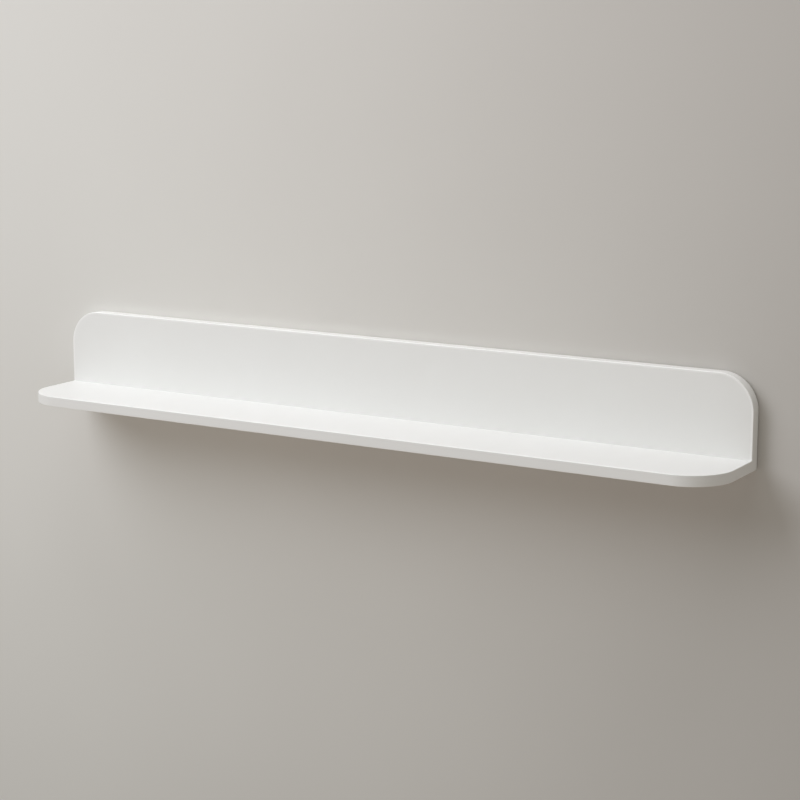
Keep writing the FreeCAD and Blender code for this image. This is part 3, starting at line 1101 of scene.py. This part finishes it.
def add_surround(stage):
    """Even light from above and below, and a paler ground where the camera looks past the stage."""
    world = bpy.data.worlds.new("studio_surround")
    world.use_nodes = True
    tree = world.node_tree
    light = tree.nodes["Background"]
    way = add(tree, "ShaderNodeTexCoord").outputs["Generated"]
    rise = ranged(tree, parts_of(tree, way)["Z"], -1.0, 1.0)
    feed(tree, light, {"Color": mixed(tree, rise, stage.ambient_below, stage.ambient_above)})
    ground = add(tree, "ShaderNodeBackground", {"Color": (*stage.surround, 1.0)})
    seen = add(tree, "ShaderNodeLightPath").outputs["Is Camera Ray"]
    both = add(tree, "ShaderNodeMixShader", {0: seen, 1: light.outputs[0], 2: ground.outputs[0]})
    feed(tree, tree.nodes["World Output"], {"Surface": both.outputs[0]})
    bpy.context.scene.world = world


def add_camera(stage):
    data = bpy.data.cameras.new("photo_camera")
    data.lens = stage.lens
    camera = bpy.data.objects.new("photo_camera", data)
    level = math.cos(stage.elevation)
    back = Vector((math.sin(stage.azimuth) * level, -math.cos(stage.azimuth) * level,
                   math.sin(stage.elevation)))
    camera.location = Vector(stage.aim) + back * stage.distance
    camera.rotation_euler = (-back).to_track_quat("-Z", "Y").to_euler()
    bpy.context.scene.collection.objects.link(camera)
    bpy.context.scene.camera = camera


class SHELF_OT_studio(bpy.types.Operator):
    """Set up the backdrop, the floor, the soft lights and the camera"""

    bl_idname = "wall_shelf.studio"
    bl_label = "Studio"

    def execute(self, context):
        scene = context.scene
        stage = scene.shelf_stage
        add_backdrop(stage, scene.shelf_boards)
        # The floor is seen, but what light comes up from it is the surround's
        add_floor(stage).visible_diffuse = False
        for name in SOFTBOXES:
            add_softbox(stage, name)
        add_surround(stage)
        scene.view_settings.view_transform = "Standard"
        add_camera(stage)
        return {"FINISHED"}


class SHELF_PT_builder(bpy.types.Panel):
    """Sizes, colours and pieces of the wall shelf"""

    bl_idname = "SHELF_PT_builder"
    bl_label = "Wall Shelf"
    bl_space_type = "VIEW_3D"
    bl_region_type = "UI"
    bl_category = "Wall Shelf"

    def draw(self, context):
        for name, group in GROUPS.items():
            column = self.layout.column(align=True)
            column.label(text=group.__doc__)
            for prop in group.__annotations__:
                column.prop(getattr(context.scene, name), prop)
        for operator in OPERATORS:
            self.layout.operator(operator.bl_idname)


GROUPS = {
    "shelf_boards": ShelfBoards,
    "shelf_joints": ShelfJoints,
    "shelf_hangers": ShelfHangers,
    "shelf_finishes": ShelfFinishes,
    "shelf_stage": ShelfStage,
}
OPERATORS = (
    SHELF_OT_back_panel,
    SHELF_OT_ledge_board,
    SHELF_OT_dowels,
    SHELF_OT_joint_screws,
    SHELF_OT_hanger_plates,
    SHELF_OT_plate_screws,
    SHELF_OT_studio,
)


def register():
    for name, group in GROUPS.items():
        bpy.utils.register_class(group)
        setattr(bpy.types.Scene, name, PointerProperty(type=group))
    for item in (*OPERATORS, SHELF_PT_builder):
        bpy.utils.register_class(item)


def unregister():
    for item in (SHELF_PT_builder, *reversed(OPERATORS)):
        bpy.utils.unregister_class(item)
    for name, group in reversed(GROUPS.items()):
        delattr(bpy.types.Scene, name)
        bpy.utils.unregister_class(group)


def main():
    register()
    bpy.ops.wall_shelf.back_panel()
    bpy.ops.wall_shelf.ledge_board()
    bpy.ops.wall_shelf.dowels()
    bpy.ops.wall_shelf.joint_screws()
    bpy.ops.wall_shelf.hanger_plates()
    bpy.ops.wall_shelf.plate_screws()
    bpy.ops.wall_shelf.studio()


if __name__ == "__main__":
    main()
